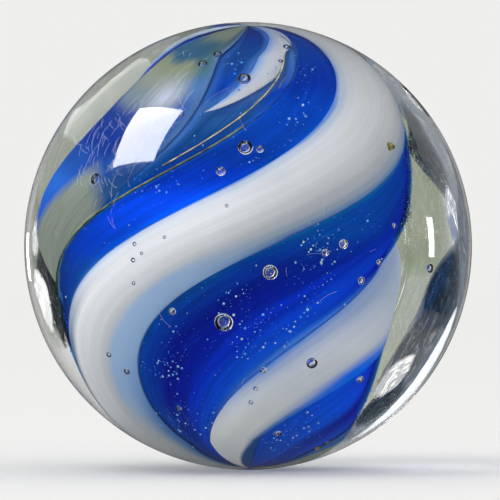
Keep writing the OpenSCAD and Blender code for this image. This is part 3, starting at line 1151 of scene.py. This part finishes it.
# The cards glow in these colours; the brightest stand in for lamps and make painted highlights in the rim.
cards = {
    "cardVeilLeft": ((0.20, 0.24, 0.17), (0.36, 0.40, 0.31), 0.9, 0.5, [
        (66, 0.900, 0.985), (90, 0.860, 0.995), (115, 0.830, 0.995), (135, 0.820, 0.990), (155, 0.810, 0.985),
        (170, 0.820, 0.975), (190, 0.830, 0.975), (210, 0.870, 0.980)]),
    "cardVeilRight": ((0.28, 0.31, 0.20), (0.46, 0.49, 0.36), 0.9, 0.2, [
        (58, 0.800, 0.960), (44, 0.700, 0.940), (30, 0.560, 0.920), (15, 0.500, 0.910), (3, 0.500, 0.920),
        (-10, 0.560, 0.900)]),
    "cardVeilFoot": ((0.26, 0.30, 0.20), (0.46, 0.50, 0.38), 0.75, 0.3, [
        (4, 0.560, 0.900), (-10, 0.480, 0.920), (-25, 0.480, 0.910), (-40, 0.560, 0.920),
        (-60, 0.740, 0.950)]),
    "cardRing": ((0.06, 0.10, 0.16), (0.36, 0.42, 0.50), 0.9, 1.0, [
        (80, 0.930, 0.990), (60, 0.890, 0.994), (45, 0.885, 0.994), (25, 0.905, 0.992), (5, 0.910, 0.990),
        (-15, 0.920, 0.990), (-35, 0.905, 0.992), (-55, 0.900, 0.994), (-78, 0.930, 0.990)]),
    "cardUpper": ((0.004, 0.008, 0.014), (0.05, 0.11, 0.20), 1.0, 0.4, [
        (44, 0.920, 0.945), (37, 0.880, 0.940), (31, 0.815, 0.935), (25, 0.822, 0.938), (19, 0.855, 0.938),
        (12, 0.900, 0.930)]),
    "cardLower": ((0.004, 0.012, 0.024), (0.04, 0.12, 0.26), 1.0, 0.5, [
        (1, 0.905, 0.935), (-5, 0.835, 0.945), (-10, 0.800, 0.955), (-16, 0.785, 0.965), (-22, 0.785, 0.955),
        (-27, 0.790, 0.880)]),
    "cardGrey": ((0.06, 0.07, 0.09), (0.36, 0.38, 0.42), 0.9, 1.0, [
        (-19, 0.780, 0.955), (-28, 0.775, 0.930), (-36, 0.780, 0.925), (-44, 0.800, 0.920),
        (-50, 0.850, 0.920)]),
    "cardFoot": ((0.01, 0.02, 0.03), (0.10, 0.16, 0.26), 1.0, 0.8, [
        (-41, 0.900, 0.935), (-47, 0.865, 0.950), (-53, 0.870, 0.950), (-60, 0.905, 0.940)]),
    "cardArc": ((1.7, 1.8, 2.0), (3.0, 3.0, 3.0), 1.0, 1.1, [
        (-16, 0.960, 0.974), (-24, 0.948, 0.978), (-32, 0.943, 0.984), (-40, 0.948, 0.987),
        (-50, 0.958, 0.988), (-62, 0.972, 0.986)]),
    "cardSpark": ((0.30, 0.36, 0.50), (2.8, 2.7, 2.5), 1.0, 2.4, [
        (17, 0.910, 0.925), (12, 0.885, 0.940), (7, 0.885, 0.940), (1, 0.905, 0.925)]),
    "cardGlow": ((0.60, 0.62, 0.66), (3.2, 3.1, 2.8), 1.0, 1.8, [
        (-33, 0.860, 0.880), (-38, 0.820, 0.900), (-44, 0.815, 0.900), (-50, 0.845, 0.885)]),
    "cardLeft": ((0.006, 0.008, 0.012), (0.16, 0.18, 0.18), 1.0, 1.5, [
        (179, 0.890, 0.925), (186, 0.865, 0.945), (193, 0.850, 0.935), (200, 0.850, 0.935),
        (210, 0.885, 0.930)]),
    "cardLeftGlow": ((1.2, 1.2, 1.2), (3.4, 3.3, 3.1), 1.0, 1.5, [
        (186, 0.935, 0.957), (190, 0.908, 0.968), (195, 0.905, 0.968), (199, 0.915, 0.963),
        (204, 0.940, 0.955)]),
    "cardLeftSpark": ((0.8, 0.8, 0.8), (2.4, 2.4, 2.4), 1.0, 1.8, [
        (173, 0.935, 0.955), (178, 0.925, 0.962), (183, 0.935, 0.955)]),
    "cardGlint": ((0.30, 0.33, 0.27), (1.1, 1.1, 1.0), 0.9, 2.2, [
        (108, 0.952, 0.964), (120, 0.940, 0.962), (133, 0.935, 0.956), (146, 0.945, 0.955)]),
}

cardSheet = {
    "columns": 64,
    "rows": 8,
    "reach": 1.30,      # distance from the ball's centre in radii, less a step for each card before it
    "step": 0.01,
}


def throughBall(clock, share, reach):    # where a sight line through this place of the ball's face ends up
    outside = math.asin(share)
    inside = math.asin(share / glassBend)
    # in the plane of the sight line, with angles from the direction of the viewer
    leave = outside + math.pi - 2 * inside
    go = math.pi + 2 * (outside - inside)
    facing = math.cos(leave - go)
    far = math.sqrt(facing * facing - 1 + reach * reach) - facing
    axis = (math.sin(leave) + far * math.sin(go)) * ballRadius
    depth = (math.cos(leave) + far * math.cos(go)) * ballRadius
    return fromView(*atClock(clock, axis), depth)


def stationAt(stations, share):      # a smooth curve through the stations
    last = len(stations) - 1
    first = min(int(share * last), last - 1)
    rest = share * last - first
    four = [stations[min(max(first + k, 0), last)] for k in (-1, 0, 1, 2)]
    return [b + rest * 0.5 * (c - a + rest * (2 * a - 5 * b + 4 * c - d + rest * (3 * b - 3 * c + d - a)))
            for a, b, c, d in zip(*four)]


def cardPaint(tree, colours, cover, raggedness, length):
    lengthwise, crosswise, width = attribute(tree, "card")
    around, over = lengthwise * length, crosswise * width
    fade = lengthwise * (1 - lengthwise) * crosswise * (1 - crosswise) * 16
    grain = noise(tree, vectorOf(tree, around * 14, over * 60, 0), 1.0, 5.0, 0.62, 0.3) - 0.5
    streaks = noise(tree, vectorOf(tree, around * 9, over * 60, 4), 1.0, 5.0, 0.7, 1.2)
    dots = noise(tree, vectorOf(tree, around * 110, over * 150, 8), 1.0, 1.0).ramp(0.70, 0.78)
    colour = mixColours(tree, streaks.ramp(0.50, 0.72), (*colours[0], 1), (*colours[1], 1))
    colour = mixColours(tree, dots * 0.6, colour, (0.9, 0.95, 0.9, 1))
    mask = (fade ** 0.5 + grain * raggedness).ramp(0.12, 0.62) * cover
    return eitherOf(tree, mask, addNode(tree, "ShaderNodeBsdfTransparent").outputs[0], emission(tree, colour))


def makeCard(name, dark, light, cover, raggedness, stations, reach):
    mesh = bpy.data.meshes.new(name)
    columns, rows = cardSheet["columns"], cardSheet["rows"]
    verts, faces, tags = [], [], []
    for i in range(columns + 1):
        clock, inner, outer = stationAt(stations, i / columns)
        for j in range(rows + 1):
            verts.append(throughBall(clock, inner + (outer - inner) * j / rows, reach))
            tags += [i / columns, j / rows, outer - inner]
    for i in range(columns):
        for j in range(rows):
            first = i * (rows + 1) + j
            faces.append((first, first + 1, first + rows + 2, first + rows + 1))
    mesh.from_pydata(verts, [], faces)
    mesh.attributes.new("card", "FLOAT_VECTOR", "POINT").data.foreach_set("vector", tags)
    material, tree = newMaterial(name)
    length = abs(stations[-1][0] - stations[0][0]) * degree
    setSurface(mesh, material, cardPaint(tree, (dark, light), cover, raggedness, length))
    card = linked(name, mesh)
    card.visible_camera = card.visible_diffuse = card.visible_shadow = False


hood = {
    "radius": 0.21,
    "distance": 0.45,
    "edges": 48,
    "folds": 9.0,
}


def makeHood():      # a dark cloth round the lens, seen only in light that turned back inside the glass
    mesh = bpy.data.meshes.new("lensHood")
    work = bmesh.new()
    bmesh.ops.create_circle(work, cap_ends=True, segments=hood["edges"], radius=hood["radius"])
    work.to_mesh(mesh)
    work.free()
    material, tree = newMaterial("darkCloth")
    folds = noise(tree, onPiece(tree), hood["folds"], 3.0)
    cloth = emission(tree, mixColours(tree, folds, (0.01, 0.015, 0.02, 1), (0.05, 0.06, 0.07, 1)))
    turnedBack = Term(tree, addNode(tree, "ShaderNodeLightPath").outputs["Glossy Depth"]).within(0, 1)
    clear = addNode(tree, "ShaderNodeBsdfTransparent").outputs[0]
    setSurface(mesh, material, eitherOf(tree, turnedBack, clear, cloth))
    shade = linked("lensHood", mesh)
    shade.location = fromView(0, 0, 1) * hood["distance"]
    shade.rotation_euler = shade.location.to_track_quat("Z", "Y").to_euler()
    shade.visible_camera = shade.visible_diffuse = shade.visible_glossy = shade.visible_shadow = False


lamps = {      # direction and distance from the ball, size, an edge's direction, brightness, and what sees it
    "window": ((-0.674, -0.122, 0.728), 0.15, (0.060, 0.070), (0.177, -0.33, 0.14), 16, "glossy"),
    "strip": ((0.96, 0.28, 0.02), 0.20, (0.016, 0.050), (0.28, -0.96, 0), 18, "glossy"),
    "softLamp": ((-0.5, -0.35, 0.80), 0.80, (0.45, 0.45), (1, 0, 0), 2.1, "diffuse"),
}


def makeLamp(name, direction, distance, size, edge, brightness, role):
    data = bpy.data.lights.new(name, "AREA")
    data.shape = "RECTANGLE"
    data.size, data.size_y = size
    data.energy = math.pi * size[0] * size[1] * brightness
    lamp = linked(name, data)
    back = Vector(direction).normalized()
    side = Vector(edge)
    side = (side - back * side.dot(back)).normalized()
    turn = Matrix((side, back.cross(side), back)).transposed().to_4x4()
    lamp.matrix_world = Matrix.Translation(back * distance) @ turn
    lamp.visible_diffuse = role == "diffuse"
    lamp.visible_glossy = role == "glossy"


makeFloor()
makeWorld()
for order, (name, settings) in enumerate(cards.items()):      # each card stands in front of the one before
    makeCard(name, *settings, cardSheet["reach"] - cardSheet["step"] * order)
makeHood()
for name, settings in lamps.items():
    makeLamp(name, *settings)
bpy.context.scene.view_settings.view_transform = "Standard"
print("stage and lamps set")
